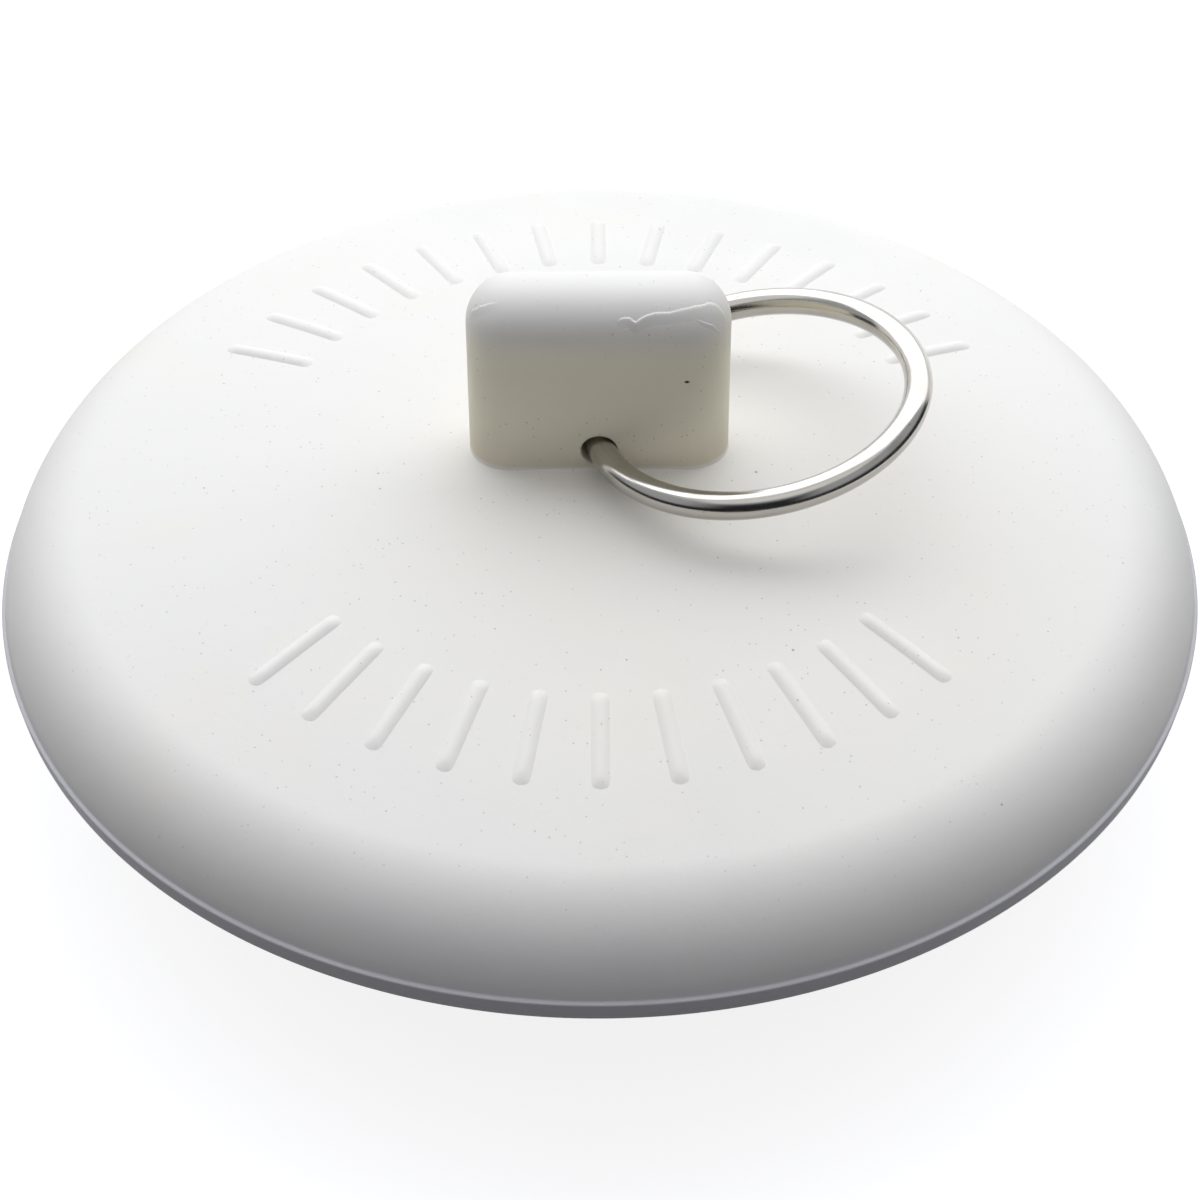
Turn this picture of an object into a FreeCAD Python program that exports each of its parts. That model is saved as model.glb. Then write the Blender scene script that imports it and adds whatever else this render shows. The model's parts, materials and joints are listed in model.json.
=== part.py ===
# Rubber drain stopper: one domed moulding with a stepped plug below and a pull tab on top,
# and a wire ring that passes through the tab and swings over it.
# Millimetres, +Z up. The origin is on the plug's axis, at the plug's foot.
# X runs along the tab's width, and the ring lies to +X.
import FreeCAD, Part
import math
import os

# Flange: a shallow crown, a round shoulder and a thin rim band that stands out under a ledge
rim_diameter = 88.9
rim_band_height = 1.6
rim_ledge_width = 0.5
rim_edge_round = 0.2
dome_height = 11.5
crown_radius = 200.0
shoulder_radius = 7.5
dome_wall = 3.2

# Plug: two sealing steps, each with a tapered lead-in, round a hollow core
small_drain_diameter = 38.1
large_drain_diameter = 50.8
small_step_height = 7.5
large_step_height = 6.5
lead_in_height = 2.5
lead_in_taper = 1.2
step_root_round = 0.8
plug_root_round = 1.5
plug_foot_round = 0.5
plug_foot_width = 3.35
core_draft = 2.0
core_roof = 4.5
core_roof_round = 2.0

# Pull tab: an upright block with full rounds at its sides and its top
tab_width = 18.8
tab_depth = 6.4
tab_height = 14.2
tab_edge_round = 2.95
tab_draft_angle = 0.4
tab_root_round = 0.3
tab_hole_floor = 0.4

# Pull ring: one turn of round wire, butted inside the tab's hole
ring_outer_diameter = 25.4
wire_diameter = 2.0
ring_butt_gap = 0.2
ring_clearance = 0.05
ring_tilt_angle = 10.5

# The two rounds on the tab's top take at most this share of its depth each
round_limit_share = 0.485
# A cut or a root reaches this far past the face that it crosses
overrun = 1.0
# Two places this close are the same place
same_place = 0.001

# Heights and radii that follow from the sizes above
rim_radius = rim_diameter / 2
rim_z = small_step_height + large_step_height
ledge_z = rim_z + rim_band_height
crown_z = rim_z + dome_height
small_radius = small_drain_diameter / 2
large_radius = large_drain_diameter / 2
core_radius = small_radius - lead_in_taper - plug_foot_width
core_z = crown_z - core_roof

# The wire bows through the straight hole: its outer side stands out most at mid depth, and its
# inner side at the mouths. The hole's axis lies halfway between the two, and the ring swings about it.
wire_radius = wire_diameter / 2
ring_radius = ring_outer_diameter / 2 - wire_radius
wire_outer_side = ring_radius + wire_radius
wire_inner_side = math.sqrt((ring_radius - wire_radius) ** 2 - (tab_depth / 2) ** 2)
ring_reach = (wire_outer_side + wire_inner_side) / 2
hole_radius = (wire_outer_side - wire_inner_side) / 2 + ring_clearance
hole_z = crown_z + tab_hole_floor + hole_radius

y_axis = FreeCAD.Vector(0, 1, 0)
z_axis = FreeCAD.Vector(0, 0, 1)


def on_section(radius, height):
    return FreeCAD.Vector(radius, 0, height)


def polyline(points):
    return [Part.LineSegment(a, b).toShape() for a, b in zip(points, points[1:])]


def section_arc(centre, radius, first_angle, last_angle):
    # Angles turn from straight up towards +X
    middle_angle = (first_angle + last_angle) / 2
    points = [centre + on_section(radius * math.sin(angle), radius * math.cos(angle))
              for angle in (first_angle, middle_angle, last_angle)]
    return Part.Arc(*points).toShape()


def circles_at(solid, radius, height):
    found = []
    for edge in solid.Edges:
        if not edge.Degenerated and isinstance(edge.Curve, Part.Circle):
            off_radius = abs(edge.Curve.Radius - radius)
            off_height = abs(edge.Curve.Center.z - height)
            if max(off_radius, off_height) < same_place:
                found.append(edge)
    return found


def shoulder_centre(crown_centre, ledge_corner):
    # The shoulder touches the crown from inside and ends in the corner above the rim's ledge:
    # its centre is where two circles cross, one about the crown's centre and one about that corner
    span = ledge_corner - crown_centre
    reach = crown_radius - shoulder_radius
    along = (span.Length ** 2 + reach ** 2 - shoulder_radius ** 2) / (2 * span.Length)
    across = math.sqrt(reach ** 2 - along ** 2)
    outward = FreeCAD.Vector(span).normalize()
    sideways = y_axis.cross(outward) * -1
    return crown_centre + outward * along + sideways * across


def make_moulding():
    crown_centre = on_section(0, crown_z - crown_radius)
    ledge_corner = on_section(rim_radius - rim_ledge_width, ledge_z)
    centre = shoulder_centre(crown_centre, ledge_corner)
    tangent_angle = math.atan2(centre.x, centre.z - crown_centre.z)
    ledge_angle = math.atan2(ledge_corner.x - centre.x, ledge_corner.z - centre.z)

    # The underside keeps the dome's wall: its arcs share the outer arcs' centres
    under_crown_radius = crown_radius - dome_wall
    under_shoulder_radius = shoulder_radius - dome_wall
    foot_angle = math.acos((rim_z - centre.z) / under_shoulder_radius)
    if large_radius < under_crown_radius * math.sin(tangent_angle):
        root_angle = math.asin(large_radius / under_crown_radius)
        underside = [
            section_arc(centre, under_shoulder_radius, foot_angle, tangent_angle),
            section_arc(crown_centre, under_crown_radius, tangent_angle, root_angle),
        ]
    else:
        root_angle = math.asin((large_radius - centre.x) / under_shoulder_radius)
        underside = [section_arc(centre, under_shoulder_radius, foot_angle, root_angle)]
    rim_foot = underside[0].Vertexes[0].Point
    plug_root = underside[-1].Vertexes[-1].Point

    rim = [ledge_corner, on_section(rim_radius, ledge_z), on_section(rim_radius, rim_z), rim_foot]
    plug = [
        plug_root,
        on_section(large_radius, small_step_height + lead_in_height),
        on_section(large_radius - lead_in_taper, small_step_height),
        on_section(small_radius, small_step_height),
        on_section(small_radius, lead_in_height),
        on_section(small_radius - lead_in_taper, 0),
        on_section(core_radius, 0),
        on_section(core_radius - core_draft, core_z),
        on_section(0, core_z),
        on_section(0, crown_z),
    ]
    edges = [section_arc(crown_centre, crown_radius, 0, tangent_angle)]
    edges.append(section_arc(centre, shoulder_radius, tangent_angle, ledge_angle))
    edges += polyline(rim) + underside + polyline(plug)
    section = Part.Face(Part.Wire(edges))
    moulding = section.revolve(FreeCAD.Vector(), z_axis, 360)

    rounds = [
        (rim_radius, ledge_z, rim_edge_round),
        (rim_radius, rim_z, rim_edge_round),
        (large_radius, plug_root.z, plug_root_round),
        (small_radius, small_step_height, step_root_round),
        (small_radius - lead_in_taper, 0, plug_foot_round),
        (core_radius, 0, plug_foot_round),
        (core_radius - core_draft, core_z, core_roof_round),
    ]
    for radius, height, rounding in rounds:
        moulding = moulding.makeFillet(rounding, circles_at(moulding, radius, height))
    return moulding


def rectangle(width, depth, height):
    corners = []
    for side_x, side_y in ((-1, -1), (1, -1), (1, 1), (-1, 1), (-1, -1)):
        corners.append(FreeCAD.Vector(side_x * width / 2, side_y * depth / 2, height))
    return Part.makePolygon(corners)


def make_tab():
    # The sides lean in by the draft, from full size at the crown's top
    lean = 2 * math.tan(math.radians(tab_draft_angle))
    thinnest = tab_depth - lean * tab_height
    wires = []
    for above in (-overrun, tab_height):
        wires.append(rectangle(tab_width - lean * above, tab_depth - lean * above, crown_z + above))
    tab = Part.makeLoft(wires, True, True)
    # Every edge but the foot's gets the same round, so the upper corners are parts of a ball
    edges = [edge for edge in tab.Edges if edge.BoundBox.ZMax > crown_z]
    return tab.makeFillet(min(tab_edge_round, thinnest * round_limit_share), edges)


def make_stopper_body():
    body = make_moulding().fuse(make_tab())
    half_width = tab_width / 2 + same_place + overrun
    crown_drop = crown_radius - math.sqrt(crown_radius ** 2 - half_width ** 2)
    roots = []
    for edge in body.Edges:
        box = edge.BoundBox
        on_crown = crown_z - crown_drop < box.ZMin and box.ZMax < crown_z + same_place
        if on_crown and max(-box.XMin, box.XMax) < half_width:
            roots.append(edge)
    body = body.makeFillet(tab_root_round, roots)
    hole_length = tab_depth + 2 * overrun
    hole_start = FreeCAD.Vector(0, -hole_length / 2, hole_z)
    return body.cut(Part.makeCylinder(hole_radius, hole_length, hole_start, y_axis))


def make_pull_ring():
    # The wire's two ends face each other inside the hole, on the ring's -X side
    gap_angle = ring_butt_gap / ring_radius
    start = FreeCAD.Vector(-ring_radius, 0, 0)
    section = Part.Face(Part.Wire(Part.makeCircle(wire_radius, start, y_axis)))
    ring = section.revolve(FreeCAD.Vector(), z_axis, 360 - math.degrees(gap_angle))
    ring.rotate(FreeCAD.Vector(), z_axis, math.degrees(gap_angle) / 2)
    ring.translate(FreeCAD.Vector(ring_reach, 0, hole_z))
    ring.rotate(FreeCAD.Vector(0, 0, hole_z), y_axis, -ring_tilt_angle)
    return ring


os.makedirs("parts", exist_ok=True)
for name, make in (("stopper_body", make_stopper_body), ("pull_ring", make_pull_ring)):
    shape = make()
    shape.exportStep("parts/" + name + ".step")
    print(name, "valid", shape.isValid(), "solids", len(shape.Solids), "volume", round(shape.Volume, 2))
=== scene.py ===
import json
import math
import bpy
import numpy as np
from mathutils import Matrix, Vector


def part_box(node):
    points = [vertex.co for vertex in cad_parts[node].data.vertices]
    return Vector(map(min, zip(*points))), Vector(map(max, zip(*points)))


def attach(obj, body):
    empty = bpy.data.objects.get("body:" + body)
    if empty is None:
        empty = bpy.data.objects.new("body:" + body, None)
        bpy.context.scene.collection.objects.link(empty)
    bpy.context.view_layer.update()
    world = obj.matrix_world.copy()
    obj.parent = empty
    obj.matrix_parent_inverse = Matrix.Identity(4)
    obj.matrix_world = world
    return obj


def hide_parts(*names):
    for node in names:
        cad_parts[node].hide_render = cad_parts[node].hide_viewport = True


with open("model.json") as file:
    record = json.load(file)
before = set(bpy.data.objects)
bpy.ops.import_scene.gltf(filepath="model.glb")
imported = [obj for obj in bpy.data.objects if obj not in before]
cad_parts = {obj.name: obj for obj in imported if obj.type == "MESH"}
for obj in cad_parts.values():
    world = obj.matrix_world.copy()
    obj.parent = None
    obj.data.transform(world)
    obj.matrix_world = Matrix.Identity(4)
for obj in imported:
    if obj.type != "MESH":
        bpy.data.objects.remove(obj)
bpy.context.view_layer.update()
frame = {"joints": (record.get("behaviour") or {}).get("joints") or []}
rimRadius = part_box("stopper_body")[1].x
hingePoint = Vector(frame["joints"][0]["pos_m"])
white = (1, 1, 1, 1)
print("frame loaded, rim radius", round(rimRadius * 1000, 2), "mm")


# Shader maths: a socket with operators, so that a formula reads as one
class Flow:
    def __init__(self, tree, socket):
        self.tree, self.socket = tree, socket

    def node(self, kind, settings, sockets, out=0):  # settings first, then values or links
        made = self.tree.nodes.new("ShaderNode" + kind)
        for key, value in settings.items():
            setattr(made, key, value)
        for key, value in sockets.items():
            if isinstance(value, Flow):
                self.tree.links.new(value.socket, made.inputs[key])
            else:
                made.inputs[key].default_value = value
        return Flow(self.tree, made.outputs[out])

    def maths(self, operation, *values):
        return self.node("Math", {"operation": operation}, dict(enumerate(values)))

    def __add__(self, other): return self.maths("ADD", self, other)
    def __radd__(self, other): return self.maths("ADD", other, self)
    def __sub__(self, other): return self.maths("SUBTRACT", self, other)
    def __rsub__(self, other): return self.maths("SUBTRACT", other, self)
    def __mul__(self, other): return self.maths("MULTIPLY", self, other)
    def __rmul__(self, other): return self.maths("MULTIPLY", other, self)
    def __lt__(self, other): return self.maths("LESS_THAN", self, other)
    def __abs__(self): return self.maths("ABSOLUTE", self)

    def larger(self, other): return self.maths("MAXIMUM", self, other)

    def ramp(self, low, high):  # 0 below low, 1 above high, smooth between
        sockets = {"Value": self, "From Min": low, "From Max": high}
        return self.node("MapRange", {"interpolation_type": "SMOOTHSTEP"}, sockets)

    def blend(self, first, second):  # colours, by this share of the second
        sockets = {"Factor": self, 6: first, 7: second}
        return self.node("Mix", {"data_type": "RGBA"}, sockets, 2)

    def noise(self, sockets):  # soft noise at this place, from 0 to 1
        return self.node("TexNoise", {}, {"Vector": self, **sockets})

    def axis(self, k):  # one coordinate of this place
        return self.node("SeparateXYZ", {}, {0: self}, k)

    def scaled(self, factors):  # this place, axis by axis
        return self.node("VectorMath", {"operation": "MULTIPLY"}, {0: self, 1: factors})

    def distance(self, point):
        return self.node("VectorMath", {"operation": "DISTANCE"}, {0: self, 1: point}, "Value")


def newMaterial(name):
    material = bpy.data.materials.new(name)
    material.use_nodes = True
    tree = material.node_tree
    return material, Flow(tree, None), tree.nodes["Principled BSDF"]


def feed(flow, shader, **sockets):
    for name, value in sockets.items():
        flow.tree.links.new(value.socket, shader.inputs[name.replace("_", " ")])


# Meshes: points are rows of a numpy grid
def gridFaces(rows, columns, closeRows, closeColumns):  # quads over a grid, each way joined round or left open
    i = np.arange(rows if closeRows else rows - 1)[:, None]
    j = np.arange(columns if closeColumns else columns - 1)[None, :]
    i2, j2 = (i + 1) % rows, (j + 1) % columns
    return np.stack([i * columns + j, i * columns + j2, i2 * columns + j2, i2 * columns + j], -1).reshape(-1, 4)


def endCaps(rows, columns):  # one polygon over the first row and one over the last
    return [list(range(columns)), list(range((rows - 1) * columns, rows * columns))[::-1]]


def addPiece(name, points, faces, material, body):
    mesh = bpy.data.meshes.new(name)
    mesh.from_pydata(np.asarray(points, float).reshape(-1, 3).tolist(), [], [list(f) for f in faces])
    mesh.polygons.foreach_set("use_smooth", np.ones(len(mesh.polygons), bool))
    mesh.materials.append(material)
    mesh.update()
    piece = bpy.data.objects.new(name, mesh)
    bpy.context.scene.collection.objects.link(piece)
    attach(piece, body)
    return piece


def arc(centre, radius, first, last, steps):  # angles in radians, turned from straight up towards +r
    a = np.linspace(first, last, steps)
    return np.stack([centre[0] + radius * np.sin(a), centre[1] + radius * np.cos(a)], -1)


def roundedPath(corners, rounds, steps=7):  # each inner corner becomes an arc that touches both its lines
    corners = np.asarray(corners, float)
    path = [corners[:1]]
    for before, here, after, radius in zip(corners, corners[1:], corners[2:], rounds):
        a = (before - here) / np.linalg.norm(before - here)
        b = (after - here) / np.linalg.norm(after - here)
        half = math.acos(np.clip(a @ b, -1, 1)) / 2
        middle = (a + b) / np.linalg.norm(a + b)
        centre = here + middle * radius / math.sin(half)
        start = here + a * radius / math.tan(half) - centre
        end = here + b * radius / math.tan(half) - centre
        t = np.linspace(0, 1, steps)[:, None]
        swing = math.pi - 2 * half
        path.append(centre + (np.sin((1 - t) * swing) * start + np.sin(t * swing) * end) / math.sin(swing))
    path.append(corners[-1:])
    return np.concatenate(path)


def roundedBox(half, low, high, corner, steps):  # rectangle with round corners, from the middle of its low side
    corners = [(0, low), (half, low), (half, high), (-half, high), (-half, low), (0, low)]
    return roundedPath(corners, [corner] * 4, steps)


def evenly(loop, count):  # points along a closed path, evenly spaced by length
    run = np.r_[0, np.cumsum(np.linalg.norm(np.diff(loop, axis=0), axis=1))]
    even = np.linspace(0, run[-1], count, endpoint=False)
    return np.stack([np.interp(even, run, loop[:, k]) for k in (0, 1)], -1)


def turned(section, turn):  # a section of radius and height, carried round the upright axis through these angles
    r, z = section.T
    return np.stack([np.outer(r, np.cos(turn)), np.outer(r, np.sin(turn)), np.repeat(z[:, None], len(turn), 1)], -1)


# White rubber: ivory white, faint creamy blooms, fine grey specks, a few brown ones and a moulded grain, with painted
# warm light, bounce light and shade laid over it
rubberLook = {
    "colour": (0.862, 0.838, 0.762, 1),
    "roughness": 0.46,
    "specular": 0.35,
    "bump": {"Strength": 0.12, "Distance": 0.0003},
    "bloom": {
        "colour": (0.872, 0.832, 0.715, 1), "share": 0.8, "range": (0.5, 0.78), "rougher": 0.06,
        "noise": {"Scale": 70.0, "Detail": 5.0, "Roughness": 0.6},
    },
    "smear": {
        "colour": (0.80, 0.782, 0.725, 1), "share": 0.65, "range": (0.52, 0.8),
        "noise": {"Scale": 34.0, "Detail": 3.0, "Distortion": 0.8},
    },
    "paintedWarmth": {  # painted warm light: the crown is tinted creamier about the ring and in front, standing in for warmer light there
        "colour": (0.872, 0.832, 0.715, 1), "share": 0.5, "place": (0.009, -0.013, 0.0255), "fade": (0.011, 0.037),
    },
    "yellowAndBounce": {  # the tab is yellower than the dome, partly its own tint and partly painted warm light bounced off the dome, and darker and browner towards its foot
        "colour": (0.872, 0.815, 0.605, 1), "share": 0.8, "from": (0.02555, 0.0258), "to": (0.0335, 0.0395),
        "footColour": (0.74, 0.675, 0.50, 1), "footFade": (0.0255, 0.0305),
    },
    "paintedRimShade": {"colour": (0.56, 0.55, 0.555, 1), "share": 0.8, "from": (0.0439, 0.0443)},  # painted shade: the thin edge of the rim is greyed, standing in for the shade on its band
    "grey": {
        "colour": (0.40, 0.39, 0.37, 1), "share": 0.55, "heights": (0.018, 0.0235),
        "dots": {"scale": 2100.0, "radius": 0.2, "chance": 0.4},
    },
    "brown": {
        "colour": (0.34, 0.27, 0.19, 1), "share": 0.7, "heights": (0.016, 0.022),
        "dots": {"scale": 620.0, "radius": 0.085, "chance": 0.26},
    },
    "speckDepth": 0.4,
    "pit": {  # a pinhole in the tab's face, wider than it is high; its near-black inside is painted shade
        "colour": (0.02, 0.018, 0.015, 1), "place": (0.006161, -0.003450, 0.033458), "squash": (0.62, 1.0, 1.0),
        "edge": (0.00007, 0.00015), "depth": 3,
    },
    "grain": {"noise": {"Scale": 2600.0, "Detail": 2.0}, "height": 0.25, "rougher": 0.12},
    "peel": {"noise": {"Scale": 325.0, "Detail": 2.0}},
}
speckShape = {"shrink": 0.7, "core": 0.6}  # shares of the radius: what the smallest dot lacks, and what is solid


def specks(place, scale, radius, chance):  # one dot, large or small, in some of the cells, as a share from 0 to 1
    cells = {"Vector": place, "Scale": scale, "Randomness": 1.0}
    near = place.node("TexVoronoi", {}, cells, "Distance")
    drawn = place.node("TexVoronoi", {}, cells, "Color")
    chosen, smaller = [place.node("SeparateColor", {}, {0: drawn}, k) for k in (0, 1)]
    dot = 1 - (near + smaller * radius * speckShape["shrink"]).ramp(radius * speckShape["core"], radius)
    return dot * (chosen < chance)


def tinted(colour, mask, tint):  # a tint laid over a colour where the mask is
    return (mask * tint["share"]).blend(colour, tint["colour"])


def whiteRubber():
    look = rubberLook
    yellowAndBounceLook, shadedPinhole = look["yellowAndBounce"], look["pit"]
    material, flow, shader = newMaterial("whiteRubber")
    place = flow.node("TexCoord", {}, {}, "Object")
    height = place.axis(2)
    outward = place.scaled((1.0, 1.0, 0.0)).distance((0.0, 0.0, 0.0))
    bloom, smear, grain, peel = [place.noise(look[name]["noise"]) for name in ("bloom", "smear", "grain", "peel")]
    grey, brown = [specks(place, **look[name]["dots"]) * height.ramp(*look[name]["heights"])
                   for name in ("grey", "brown")]
    onTab = height.ramp(*yellowAndBounceLook["from"])
    # painted warm light: a cream tint over the crown, fading out from near the ring, none on the tab
    paintedWarmth = (1 - place.distance(look["paintedWarmth"]["place"]).ramp(*look["paintedWarmth"]["fade"])) * (1 - onTab)
    # the tab's yellow: partly its own tint, partly painted bounce light from the dome; darker and browner towards its
    # foot
    yellowAndBounce = onTab * (1 - height.ramp(*yellowAndBounceLook["to"])) * yellowAndBounceLook["share"]
    pitCentre = tuple(a * b for a, b in zip(shadedPinhole["place"], shadedPinhole["squash"]))
    pit = 1 - place.scaled(shadedPinhole["squash"]).distance(pitCentre).ramp(*shadedPinhole["edge"])
    colour = tinted(look["colour"], bloom.ramp(*look["bloom"]["range"]), look["bloom"])
    colour = tinted(colour, smear.ramp(*look["smear"]["range"]), look["smear"])
    colour = tinted(colour, paintedWarmth, look["paintedWarmth"])
    colour = yellowAndBounce.blend(colour, height.ramp(*yellowAndBounceLook["footFade"]).blend(yellowAndBounceLook["footColour"], yellowAndBounceLook["colour"]))
    # painted shade on the rim's thin edge
    colour = tinted(colour, outward.ramp(*look["paintedRimShade"]["from"]), look["paintedRimShade"])
    colour = tinted(colour, grey, look["grey"])
    colour = tinted(colour, brown, look["brown"])
    # painted shade: the pinhole's inside is coloured near black
    colour = pit.blend(colour, shadedPinhole["colour"])
    relief = grain * look["grain"]["height"] + peel - (grey + brown) * look["speckDepth"] - pit * shadedPinhole["depth"]
    bump = flow.node("Bump", {}, {"Height": relief, **look["bump"]})
    roughness = look["roughness"] + grain * look["grain"]["rougher"] + bloom * look["bloom"]["rougher"]
    feed(flow, shader, Base_Color=colour, Roughness=roughness, Normal=bump)
    shader.inputs["Specular IOR Level"].default_value = look["specular"]
    return material


# Nickel-plated wire: drawn lengthwise, a little dull, with a few pits
nickelLook = {
    "colour": (0.53, 0.51, 0.475, 1),
    "roughness": 0.13,
    "metallic": 1.0,
    "bump": {"Strength": 0.08, "Distance": 0.0001},
    "dull": {
        "colour": (0.42, 0.40, 0.36, 1), "range": (0.48, 0.75), "roughRange": (0.5, 0.8), "rougher": 0.08,
        "noise": {"Scale": 260.0, "Detail": 4.0},
    },
    "streak": {  # fine round the wire, long along it
        "stretch": (90.0, 5000.0, 1.0), "range": (0.5, 0.72), "share": 0.7, "rougher": 0.08,
        "noise": {"Scale": 1.0, "Detail": 3.0},
    },
    "pit": {
        "colour": (0.12, 0.10, 0.08, 1), "share": 0.8, "depth": 2,
        "dots": {"scale": 900.0, "radius": 0.09, "chance": 0.5},
    },
}


def nickelWire():
    look = nickelLook
    dulled, drawn = look["dull"], look["streak"]
    material, flow, shader = newMaterial("nickelWire")
    along = flow.node("UVMap", {"uv_map": "alongWire"}, {}, 0)
    place = flow.node("TexCoord", {}, {}, "Object")
    streak = flow.node("Mapping", {}, {"Vector": along, "Scale": drawn["stretch"]}).noise(drawn["noise"])
    cloud = place.noise(dulled["noise"])
    pit = specks(place, **look["pit"]["dots"])
    dull = cloud.ramp(*dulled["range"]).larger(streak.ramp(*drawn["range"]) * drawn["share"])
    colour = tinted(dull.blend(look["colour"], dulled["colour"]), pit, look["pit"])
    bump = flow.node("Bump", {}, {"Height": streak - pit * look["pit"]["depth"], **look["bump"]})
    roughness = (look["roughness"] + streak * drawn["rougher"]
                 + cloud.ramp(*dulled["roughRange"]) * dulled["rougher"])
    feed(flow, shader, Base_Color=colour, Roughness=roughness, Normal=bump)
    shader.inputs["Metallic"].default_value = look["metallic"]
    return material


rubber = whiteRubber()
nickel = nickelWire()
print("materials made")

# Dome and plug: one section turned about the plug's axis
dome = {
    "crownRadius": 0.2,
    "shoulderRadius": 0.0075,
    "wall": 0.0032,
    "rimBottom": 0.014,
    "bandHeight": 0.0016,
    "ledgeWidth": 0.0003,
    "undercut": 0.0002,
    "rimRounds": [0.00016, 0.00013, 0.0002],  # under the shoulder, at the ledge's edge, at the band's foot
    "crownHeight": 0.0255,
    "poleRadius": 0.0002,  # the small flat where the section meets the axis
    "crownSteps": 60,
    "shoulderSteps": 44,
    "ledgeSteps": 4,  # of the shoulder's, given up to the round over the ledge
    "underSteps": 24,
    "plugSteps": 8,  # under the crown, from the shoulder in to the plug
    "turns": 480,
}
plug = {
    "smallRadius": 0.01905,
    "largeRadius": 0.0254,
    "stepHeight": 0.0075,
    "leadIn": 0.0025,
    "taper": 0.0012,
    "footWidth": 0.00335,
    "coreDraft": 0.002,
    "coreRoof": 0.0045,
    "rounds": [0.0012, 0.0004, 0.0005, 0.0008, 0.0004, 0.0005, 0.0005, 0.002],  # from the dome down and up the core
}
crownCentre = np.array([0.0, dome["crownHeight"] - dome["crownRadius"]])
ledgeCorner = np.array([rimRadius - dome["ledgeWidth"], dome["rimBottom"] + dome["bandHeight"]])


def shoulderCentre():  # where two circles cross: one about the crown's centre, one about the ledge's corner
    span = ledgeCorner - crownCentre
    length = np.linalg.norm(span)
    reach = dome["crownRadius"] - dome["shoulderRadius"]
    along = (length ** 2 + reach ** 2 - dome["shoulderRadius"] ** 2) / (2 * length)
    out = span / length
    return crownCentre + out * along + np.array([-out[1], out[0]]) * math.sqrt(reach ** 2 - along ** 2)


shoulder = shoulderCentre()
tangentAngle = math.atan2(shoulder[0], shoulder[1] - crownCentre[1])


def crownHeight(r):  # height of the crown's sphere at a radius
    return crownCentre[1] + np.sqrt(dome["crownRadius"] ** 2 - r ** 2)


def domeSection():  # crown, shoulder, rim, underside, plug and core, as arcs and rounded lines of radius and height
    inner, pole, given = dome["shoulderRadius"] - dome["wall"], dome["poleRadius"], dome["ledgeSteps"]
    underRadius = dome["crownRadius"] - dome["wall"]
    ledgeAngle = math.atan2(*(ledgeCorner - shoulder))
    footAngle = math.acos((dome["rimBottom"] - shoulder[1]) / inner)
    rootAngle = math.asin(plug["largeRadius"] / underRadius)
    core = plug["smallRadius"] - plug["taper"] - plug["footWidth"]
    coreTop = dome["crownHeight"] - plug["coreRoof"]
    crown = arc(crownCentre, dome["crownRadius"], pole / dome["crownRadius"], tangentAngle, dome["crownSteps"])
    side = arc(shoulder, dome["shoulderRadius"], tangentAngle, ledgeAngle, dome["shoulderSteps"])[1:]
    under = arc(shoulder, inner, footAngle, tangentAngle, dome["underSteps"])
    underCrown = arc(crownCentre, underRadius, tangentAngle, rootAngle, dome["plugSteps"])[1:]
    rimCorners = [
        side[-given],
        ledgeCorner,
        (rimRadius, ledgeCorner[1]),
        (rimRadius - dome["undercut"], dome["rimBottom"]),
        under[0],
    ]
    plugCorners = [
        underCrown[-2],
        underCrown[-1],
        (plug["largeRadius"], plug["stepHeight"] + plug["leadIn"]),
        (plug["largeRadius"] - plug["taper"], plug["stepHeight"]),
        (plug["smallRadius"], plug["stepHeight"]),
        (plug["smallRadius"], plug["leadIn"]),
        (plug["smallRadius"] - plug["taper"], 0),
        (core, 0),
        (core - plug["coreDraft"], coreTop),
        (pole, coreTop),
    ]
    rim = roundedPath(rimCorners, dome["rimRounds"])[1:-1]
    foot = roundedPath(plugCorners, plug["rounds"])
    return np.concatenate([crown, side[:-given], rim, under, underCrown[:-2], foot])


def addDome():  # the section carried once round the axis, with a small polygon over each pole
    points = turned(domeSection(), np.linspace(0, 2 * math.pi, dome["turns"], endpoint=False))
    rows, columns = points.shape[:2]
    faces = gridFaces(rows, columns, False, True)[:, ::-1].tolist() + endCaps(rows, columns)
    return addPiece("stopperDome", points, faces, rubber, "stopper")


stopperDome = addDome()
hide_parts("stopper_body")
print("dome made")

# Raised bars: plain moulded grip bars in two arcs on the crown, front and rear
bars = {
    "inner": 0.0247,
    "outer": 0.0327,
    "width": 0.00105,
    "height": 0.00026,
    "sunk": 0.00003,  # how far the outline lies below the crown
    "flank": 1.25,  # the outline's width over the bar's own
    "capPower": 0.9,
    "endSlope": 2.2,  # half widths over which an end rises
    "front": (11, 46.0),  # how many, and how far to each side in degrees
    "rear": (15, 62.0),
    "rows": 33,
    "columns": 13,
}


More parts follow.
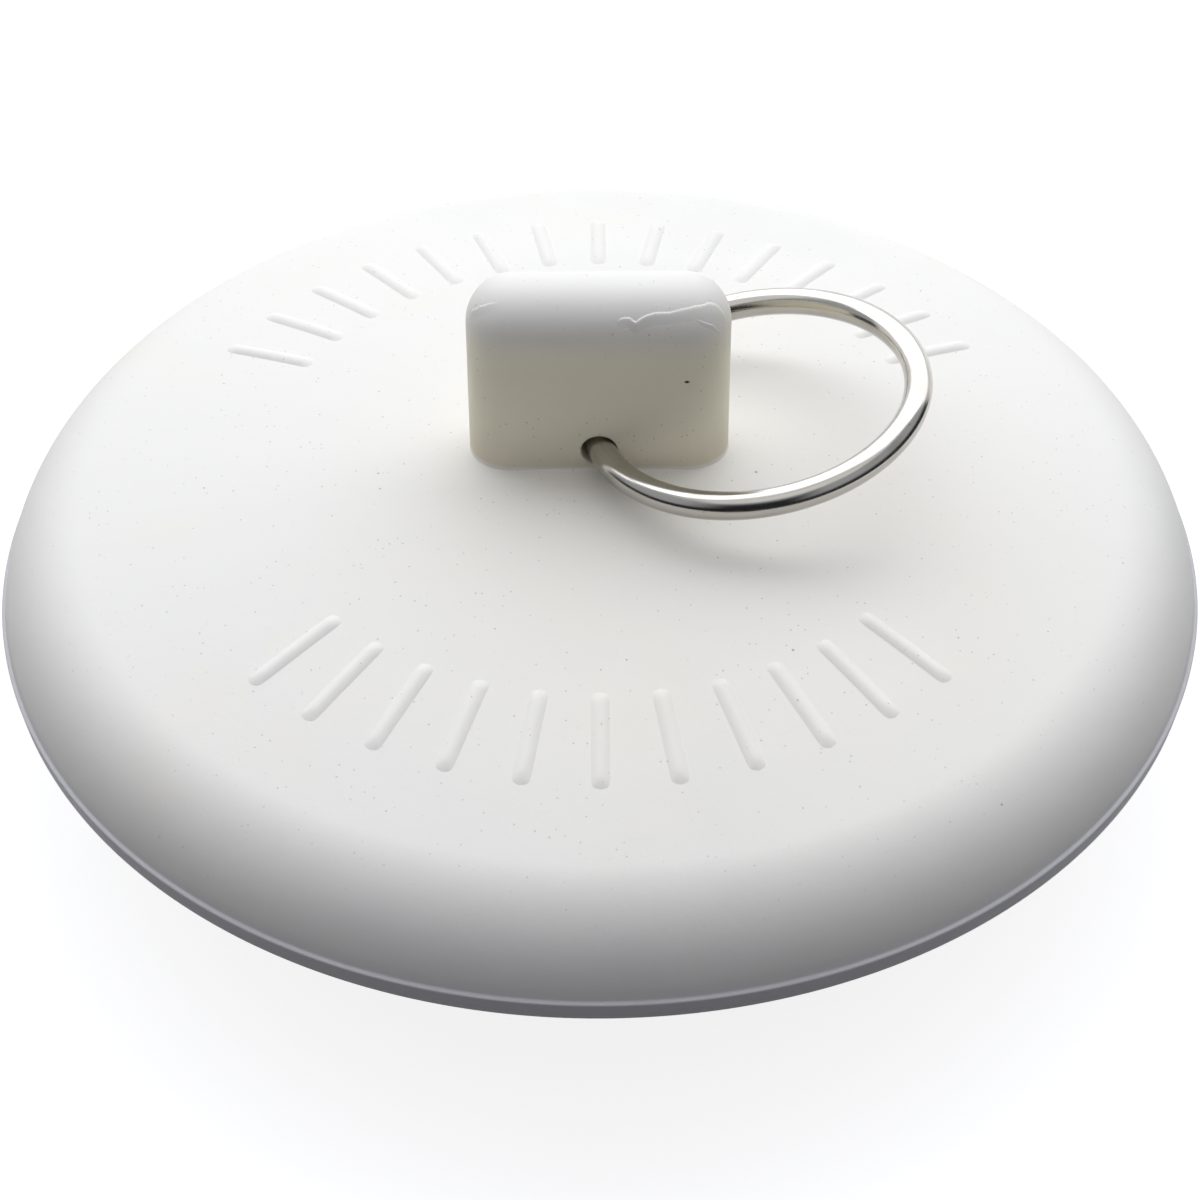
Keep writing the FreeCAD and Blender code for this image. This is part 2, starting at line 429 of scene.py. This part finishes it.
def addBars():  # each bar is a flattened cap: height falls to nothing round a long rounded outline
    half, length = bars["width"] / 2, bars["outer"] - bars["inner"]
    along = np.linspace(0, 1, bars["rows"])
    across = np.linspace(-1, 1, bars["columns"])
    fromEnd = np.minimum(along, 1 - along) * length / half
    narrow = np.sqrt(1 - (1 - np.clip(fromEnd, 0, 1)) ** 2)
    swell = np.sin(np.clip(fromEnd / bars["endSlope"], 0, 1) * math.pi / 2)
    (front, frontSpread), (rear, rearSpread) = bars["front"], bars["rear"]
    middle = np.radians(np.concatenate([-90 + np.linspace(-1, 1, front) * frontSpread,
                                        90 + np.linspace(-1, 1, rear) * rearSpread]))
    r = bars["inner"] + along * length
    side = np.outer(narrow, across) * half * bars["flank"]
    cap = np.cos(across * math.pi / 2) ** bars["capPower"]
    lift = bars["height"] * np.outer(swell, cap) - bars["sunk"]
    c, s = np.cos(middle)[:, None, None], np.sin(middle)[:, None, None]
    x = r[None, :, None] * c - side[None] * s
    y = r[None, :, None] * s + side[None] * c
    z = crownHeight(np.hypot(x, y)) + lift[None]
    points = np.stack([x, y, z], -1)
    quads = gridFaces(bars["rows"], bars["columns"], False, False)[:, ::-1]
    first = np.arange(len(middle)) * bars["rows"] * bars["columns"]  # each bar's first point
    faces = (quads[None] + first[:, None, None]).reshape(-1, 4)
    return addPiece("raisedBars", points, faces.tolist(), rubber, "stopper")


raisedBars = addBars()
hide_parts("stopper_body")
print("bars made")

# Pull tab: a block with a hole, as one sheet that runs out of the hole, over the faces and back in
tab = {
    "width": 0.0188,
    "depth": 0.0064,
    "height": 0.01405,
    "edgeRound": 0.00315,
    "edgeReach": 0.0032,  # how far the round edge runs in over a face
    "cornerSpare": 0.00005,  # by which an outline corner's radius is larger than that
    "lean": (0.4, -1.8),  # degrees that the ends and the faces lean in, going up
    "buried": 0.0036,
    "holeRadius": 0.001295,
    "mouthRound": 0.00012,
    "around": 320,
    "cornerSteps": 65,
    "wallRows": 8,
    "lipRows": 4,
    "faceRows": 28,
    "edgeRows": 26,
}
root = {  # the small round between tab and crown
    "radius": 0.00012,
    "sunk": 0.00001,
    "overrun": 0.12,  # radians by which it runs on into both
    "rows": 11,
    "around": 240,
    "cornerSteps": 25,
}
tears = [  # lines in the skin of the tab's front: millimetres across and up from the crown's top, and share of the step
    {"line": [(1.22, 12.79, 0.2), (1.63, 12.95, 0.6), (2.09, 12.97, 0.9), (2.33, 12.87, 1), (2.57, 12.7, 1),
              (2.85, 12.89, 1), (3.23, 13.05, 0.95), (3.93, 13.19, 0.8), (4.97, 13.2, 0.7), (5.81, 13.34, 0.75),
              (6.72, 13.44, 0.65), (7.71, 13.34, 0.6), (8.28, 13.01, 0.5), (8.71, 12.47, 0.4), (9.08, 11.68, 0.1)],
     "step": 0.1, "below": 1.2},
    {"line": [(6.5, 12.97, 0.2), (7.19, 12.67, 0.9), (7.97, 12.21, 1), (8.78, 11.09, 0.3)],
     "step": 0.02, "below": 0.6},
    {"line": [(1.35, 12.09, 0.2), (1.91, 12.34, 1), (2.46, 12.51, 0.9), (3.02, 12.57, 0.2)],
     "step": 0.02, "below": 0.6},
    {"line": [(-9.16, 11.79, 0.3), (-8.86, 12.43, 1), (-8.27, 13.01, 1), (-7.55, 13.42, 0.8), (-6.92, 13.63, 0.2)],
     "step": 0.03, "below": 0.6},
]
tearShape = {
    "fall": [-0.09, -0.05, -0.02, 0.01, 0.05, 0.1, 0.18, 0.3, 0.45, 0.62, 0.8, 1.0],  # rows down, as shares of below
    "lift": [-0.3, 0.0, 0.4, 0.8, 1.0, 0.97, 0.86, 0.66, 0.42, 0.2, 0.05, -0.3],  # each row's share of the step
    "sunk": 0.03,  # millimetres that a strip's borders lie below the face
    "ragged": [(0.000012, 21000, 0), (0.00001, 47000, 1)],  # waves along the line: size, rate and start
    "raggedDepth": 0.00008,
    "smoothing": 9,  # columns over which a line's corners are rounded
    "columns": 241,
    "edgeOn": 0.03,  # the round edge is never taken quite edge-on
}


def leanIn(points):  # the tab's ends lean in with height and its faces lean out, as shares of its width and depth
    up = (points[..., 2:] - dome["crownHeight"]) * 2
    points[..., :2] *= 1 - up * np.tan(np.radians(tab["lean"])) / np.array([tab["width"], tab["depth"]])
    return points


def tabOutline():  # rounded rectangle in XZ, with inward normals, evenly spaced by length
    half, corner = tab["width"] / 2, tab["edgeReach"] + tab["cornerSpare"]
    low, high = dome["crownHeight"] - tab["buried"], dome["crownHeight"] + tab["height"]
    outline = evenly(roundedBox(half, low, high, corner, tab["cornerSteps"]), tab["around"])
    inward = np.clip(outline, [corner - half, low + corner], [half - corner, high - corner]) - outline
    return outline, inward / np.linalg.norm(inward, axis=1)[:, None]


def tabPoints():  # front half by rings from the hole's middle out to the outline, then the same rings behind, reversed
    outline, inward = tabOutline()
    hole = np.array([0, hingePoint.z])
    spoke = outline - hole
    angle = np.arctan2(spoke[:, 1], spoke[:, 0])
    circle = np.stack([np.cos(angle), np.sin(angle)], -1)
    half, mouth, edge, reach = tab["depth"] / 2, tab["mouthRound"], tab["edgeRound"], tab["edgeReach"]
    wall = np.linspace(0, 1, tab["wallRows"])[:, None]  # along the hole's wall, to its mouth
    lip = np.linspace(0, math.pi / 2, tab["lipRows"] + 1)[1:, None]  # over the mouth's edge
    face = np.linspace(0, 1, tab["faceRows"] + 2)[1:-1, None, None]  # across the face
    turn = np.linspace(0, math.pi / 2, tab["edgeRows"])[:, None]  # over the round edge
    start, end = hole + circle * (tab["holeRadius"] + mouth), outline + inward * reach
    ones = np.ones(len(outline))
    flat = np.concatenate([
        hole + circle * tab["holeRadius"] + wall[..., None] * 0,
        hole + circle * (tab["holeRadius"] + mouth * (1 - np.cos(lip)))[..., None],
        start + (end - start) * face,
        outline + inward * (reach * (1 - np.sin(turn)))[..., None],
        outline[None],
    ])
    y = np.concatenate([
        -(half - mouth) * wall * ones,
        (-(half - mouth) - mouth * np.sin(lip)) * ones,
        -half * ones * np.ones((tab["faceRows"], 1)),
        (edge * (1 - np.cos(turn)) - half) * ones,
        0 * ones[None],
    ])
    front = np.stack([flat[..., 0], y, flat[..., 1]], -1)
    return leanIn(np.concatenate([front, (front * [1, -1, 1])[-2:0:-1]]))


def addTab():
    points = tabPoints()
    return addPiece("pullTab", points, gridFaces(*points.shape[:2], True, True), rubber, "stopper")


def addRoot():  # a quarter round carried round the tab's foot: plan is a rectangle with elliptic corners
    stretch = tab["edgeReach"] / tab["edgeRound"]
    half, deep = tab["width"] / 2 / stretch, tab["depth"] / 2
    loop = roundedBox(half, -deep, deep, tab["edgeRound"], root["cornerSteps"]) * [stretch, 1]
    plan = evenly(loop, root["around"])
    along = np.roll(plan, -1, 0) - np.roll(plan, 1, 0)
    out = np.stack([along[:, 1], -along[:, 0]], -1) / np.linalg.norm(along, axis=1)[:, None]
    swing = np.linspace(-root["overrun"], math.pi / 2 + root["overrun"], root["rows"])
    away = root["radius"] * (1 - np.cos(swing)) - root["sunk"]
    up = root["radius"] * (1 - np.sin(swing)) - root["sunk"]
    xy = plan[None] + out[None] * away[:, None, None]
    z = crownHeight(np.hypot(xy[..., 0], xy[..., 1])) + up[:, None]
    points = np.concatenate([xy, z[..., None]], -1)
    faces = gridFaces(*points.shape[:2], False, True)[:, ::-1]
    return addPiece("tabRoot", points, faces, rubber, "stopper")


def tabFront(x, z):  # the tab's front skin over x and height: flat, with an elliptic edge; gives places and normals
    edge, reach = tab["edgeRound"], tab["edgeReach"]
    dx = np.clip(np.abs(x) - (tab["width"] / 2 - reach), 0, None) * np.sign(x) / reach
    dz = np.clip(z - (tab["height"] - reach), 0, None) / reach
    deep = np.sqrt(np.clip(1 - dx ** 2 - dz ** 2, tearShape["edgeOn"] ** 2, None))
    place = np.stack([x, edge - tab["depth"] / 2 - edge * deep, z + dome["crownHeight"]], -1)
    normal = np.stack([dx / reach, -deep / edge, dz / reach], -1)
    return place, normal / np.linalg.norm(normal, axis=-1, keepdims=True)


def addTears():  # each is a strip of skin below its line: a sharp step that fades out below and at both ends
    smoothing, sunk = tearShape["smoothing"], tearShape["sunk"] / 1000
    lift = np.array(tearShape["lift"])[:, None]
    points, faces, count = [], [], 0
    for tear in tears:
        across, up, share = np.array(tear["line"]).T / [[1000], [1000], [1]]
        x = np.linspace(across[0], across[-1], tearShape["columns"])
        ragged = sum(size * np.sin(x * rate + start) for size, rate, start in tearShape["ragged"])
        line = np.pad(np.interp(x, across, up), smoothing // 2, "edge")
        top = np.convolve(line, np.ones(smoothing) / smoothing, "valid")
        fall = np.array(tearShape["fall"])[:, None] * tear["below"] / 1000
        rise = top - fall + ragged * np.clip(1 - fall / tearShape["raggedDepth"], 0, 1)
        place, normal = tabFront(np.repeat(x[None], len(fall), 0), rise)
        raised = lift * np.interp(x, across, share) * (tear["step"] / 1000 + sunk) - sunk
        grid = leanIn(place + normal * raised[..., None])
        points.append(grid.reshape(-1, 3))
        faces.append(gridFaces(*grid.shape[:2], False, False)[:, ::-1] + count)
        count += grid.shape[0] * grid.shape[1]
    return addPiece("tabSkin", np.concatenate(points), np.concatenate(faces), rubber, "stopper")


for piece in (addTab(), addRoot(), addTears()):
    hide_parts("stopper_body")
print("tab made")

# Pull ring: one turn of wire, its ends butted in the hole
ring = {
    "outerRadius": 0.0127,
    "wireRadius": 0.001,
    "holeLength": 0.0064,  # the tab's depth at its foot
    "gap": 0.0002,
    "tilt": math.radians(10.5),
    "around": 360,
    "sides": 40,
}


def addRing():  # a circle carried round a circle, then tilted about the hole's axis
    mean = ring["outerRadius"] - ring["wireRadius"]
    inner = math.sqrt((mean - ring["wireRadius"]) ** 2 - (ring["holeLength"] / 2) ** 2)
    reach = (ring["outerRadius"] + inner) / 2
    halfGap = ring["gap"] / mean / 2
    turn = np.linspace(math.pi + halfGap, 3 * math.pi - halfGap, ring["around"])
    side = np.linspace(0, 2 * math.pi, ring["sides"], endpoint=False)
    radius = mean + ring["wireRadius"] * np.cos(side)
    x = np.outer(np.cos(turn), radius) + reach
    y = np.outer(np.sin(turn), radius)
    z = np.repeat(ring["wireRadius"] * np.sin(side)[None], len(turn), 0)
    c, s = math.cos(ring["tilt"]), math.sin(ring["tilt"])
    points = np.stack([x * c - z * s, y, hingePoint.z + x * s + z * c], -1)
    rows, columns = points.shape[:2]
    quads = gridFaces(rows, columns, False, True)[:, ::-1]
    piece = addPiece("pullRing", points, quads.tolist() + endCaps(rows, columns), nickel, "ring")
    across = quads % columns
    lastStrip = (across == 0) & (across.max(1, keepdims=True) == columns - 1)
    across = np.where(lastStrip, columns, across)
    uv = np.stack([turn[quads // columns] * mean, across * 2 * math.pi / columns * ring["wireRadius"]], -1)
    uv = np.concatenate([uv.reshape(-1, 2), np.zeros((2 * columns, 2))]).astype(np.float32)  # both ends at the origin
    piece.data.uv_layers.new(name="alongWire").data.foreach_set("uv", uv.ravel())
    return piece


pullRing = addRing()
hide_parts("pull_ring")
print("ring made")

# Floor, screen, lights and camera
studio = {
    "floorSize": 8.0,
    "floorDrop": 0.00005,  # clear of the plug's foot
    "floorDull": (0.03, 0.03, 0.034, 1),
    "floorPaper": (0.3, 0.3, 0.3, 1),
    "floorGlow": 0.84,
    "sky": 0.56,
    "skyRise": (0.06, 0.62),  # the sky's light grows from the horizon to this height
    "skyColour": (0.86, 0.88, 1.0, 1),
    "keyPower": 11.1,
    "keySize": (2.4, 0.9),
    "keyPlace": (0.0, 0.45, 0.536),
    "keyAim": (0, 0, 0.02),
    "keyColour": (0.90, 0.93, 1.0),
}
screen = {
    "section": [(0.11, 0.003), (0.3, 0.003), (0.5, 0.06), (0.55, 0.2), (0.55, 0.8)],  # distance out and height
    "turn": (-195, 30),
    "columns": 76,
    "middle": -0.087,  # of the dark part, across
    "sides": (0.16, 0.42),  # distances from it over which the sides turn grey
    "sideRise": (0.03, 0.16),  # and heights over which they do
    "sideTone": 0.5,
    "rise": (0.34, 0.86),  # heights over which it grows bright
    "tones": ((0.02, 0.02, 0.021, 1), (0.9, 0.95, 1.0, 1)),
}


def seen(flow):  # 1 for what the camera sees, also in a mirror or through glass
    rays = [flow.node("LightPath", {}, {}, f"Is {kind} Ray") for kind in ("Camera", "Glossy", "Transmission")]
    return rays[0].larger(rays[1].larger(rays[2]))


def addSheet(name, points, material):  # a grid of points as one stage surface
    mesh = bpy.data.meshes.new(name)
    mesh.from_pydata(points.reshape(-1, 3).tolist(), [], gridFaces(*points.shape[:2], False, False).tolist())
    mesh.materials.append(material)
    sheet = bpy.data.objects.new(name, mesh)
    bpy.context.scene.collection.objects.link(sheet)
    return sheet


def addFloor():  # a flat sheet, white where it is seen and dull where it only throws light back
    size = studio["floorSize"]
    material, flow, shader = newMaterial("paleFloor")
    flow.tree.nodes.remove(shader)
    paper = flow.node("BsdfDiffuse", {}, {"Color": studio["floorPaper"]})
    glow = flow.node("Emission", {}, {"Color": white, "Strength": studio["floorGlow"]})
    bright = flow.node("AddShader", {}, {0: paper, 1: glow})
    dull = flow.node("BsdfDiffuse", {}, {"Color": studio["floorDull"]})
    mixed = flow.node("MixShader", {}, {0: seen(flow), 1: dull, 2: bright})
    flow.tree.links.new(mixed.socket, flow.tree.nodes["Material Output"].inputs[0])
    x, y = np.meshgrid([-size, size], [-size, size])
    addSheet("floor", np.stack([x, y, 0 * x - studio["floorDrop"]], -1), material)


def addScreen():  # a curved screen in front, dark in its middle and grey at the sides, seen only in reflections
    material, flow, shader = newMaterial("screen")
    flow.tree.nodes.remove(shader)
    place = flow.node("TexCoord", {}, {}, "Object")
    height = place.axis(2)
    away = abs(place.axis(0) - screen["middle"])
    sides = away.ramp(*screen["sides"]) * height.ramp(*screen["sideRise"]) * screen["sideTone"]
    tone = sides.larger(height.ramp(*screen["rise"])).blend(*screen["tones"])
    glow = flow.node("Emission", {}, {"Color": tone})
    flow.tree.links.new(glow.socket, flow.tree.nodes["Material Output"].inputs[0])
    turn = np.radians(np.linspace(*screen["turn"], screen["columns"]))
    sheet = addSheet("screen", turned(np.array(screen["section"]), turn), material)
    sheet.visible_camera = sheet.visible_diffuse = sheet.visible_shadow = False


def addLights():
    world = bpy.data.worlds.new("studio")
    world.use_nodes = True
    bpy.context.scene.world = world
    flow = Flow(world.node_tree, None)
    height = flow.node("TexCoord", {}, {}, "Generated").axis(2)
    feed(flow, world.node_tree.nodes["Background"],
         Color=seen(flow).blend(studio["skyColour"], white),
         Strength=seen(flow).larger(height.ramp(*studio["skyRise"]) * studio["sky"]))
    lamp = bpy.data.lights.new("key", "AREA")
    lamp.shape, lamp.energy, lamp.color = "RECTANGLE", studio["keyPower"], studio["keyColour"]
    lamp.size, lamp.size_y = studio["keySize"]
    key = bpy.data.objects.new("key", lamp)
    key.location = studio["keyPlace"]
    key.rotation_euler = (Vector(studio["keyAim"]) - key.location).to_track_quat("-Z", "Y").to_euler()
    bpy.context.scene.collection.objects.link(key)


lens = {
    "pixels": 2624.48,  # focal length
    "imageWidth": 1200,
    "sensorWidth": 36.0,
    "clipStart": 0.01,
    "elevation": 40.9922,
    "distance": 4.4738,
    "aim": (0.0003, -0.1013, 0),
    "roll": -0.2713,
}


def addCamera():  # distances are in rim radii, from the rim's centre
    up = math.radians(lens["elevation"])
    base = Vector((0, 0, dome["rimBottom"]))
    place = base + Vector((0, -math.cos(up), math.sin(up))) * lens["distance"] * rimRadius
    aim = base + Vector(lens["aim"]) * rimRadius
    forward = (aim - place).normalized()
    right = forward.cross(Vector((0, 0, 1))).normalized()
    top = right.cross(forward)
    roll = math.radians(lens["roll"])
    x = right * math.cos(roll) + top * math.sin(roll)
    y = top * math.cos(roll) - right * math.sin(roll)
    data = bpy.data.cameras.new("camera")
    data.sensor_width = lens["sensorWidth"]
    data.lens = lens["pixels"] / lens["imageWidth"] * data.sensor_width
    data.clip_start = lens["clipStart"]
    camera = bpy.data.objects.new("camera", data)
    camera.matrix_world = Matrix((x, y, -forward)).transposed().to_4x4()
    camera.matrix_world.translation = place
    bpy.context.scene.collection.objects.link(camera)
    bpy.context.scene.camera = camera


addFloor()
addScreen()
addLights()
addCamera()
bpy.context.scene.view_settings.view_transform = "Standard"
print("studio made")
